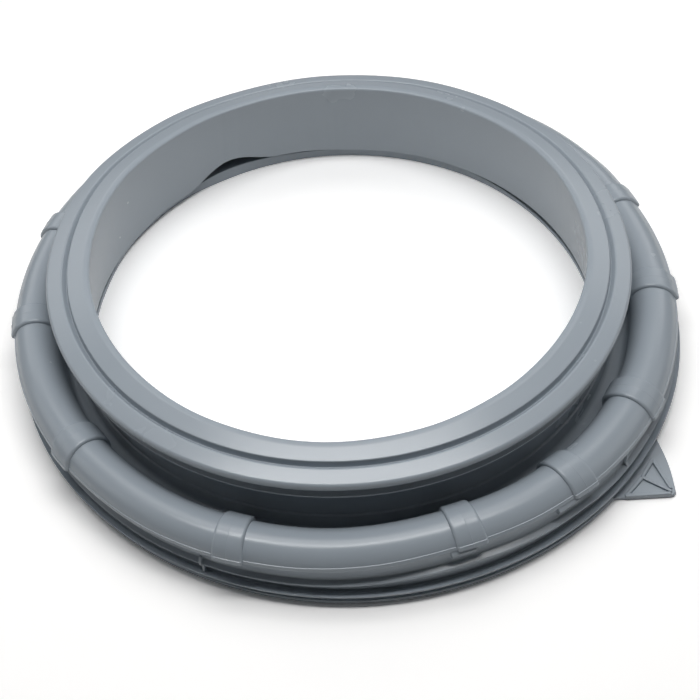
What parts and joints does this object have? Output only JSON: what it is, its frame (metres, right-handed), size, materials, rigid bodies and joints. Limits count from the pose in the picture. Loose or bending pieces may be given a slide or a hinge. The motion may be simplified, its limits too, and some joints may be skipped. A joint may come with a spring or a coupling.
{
  "type": "washing machine door seal",
  "caption": "Round grey rubber door seal with a sloping door lip, a folded tube ring with collars, a clamp groove and a pull tab.",
  "frame": {"origin": "on the floor plane of the foot, under the middle of the clamp flange", "axes": "+Z from the drum side up to the door lip, -Y towards the picture's viewer, +X to the viewer's right"},
  "size_m": [0.4121, 0.4115, 0.069],
  "materials": {
    "rubber": "satin"
  },
  "bodies": {
    "root": {"door_seal": "rubber"}
  },
  "joints": []
}
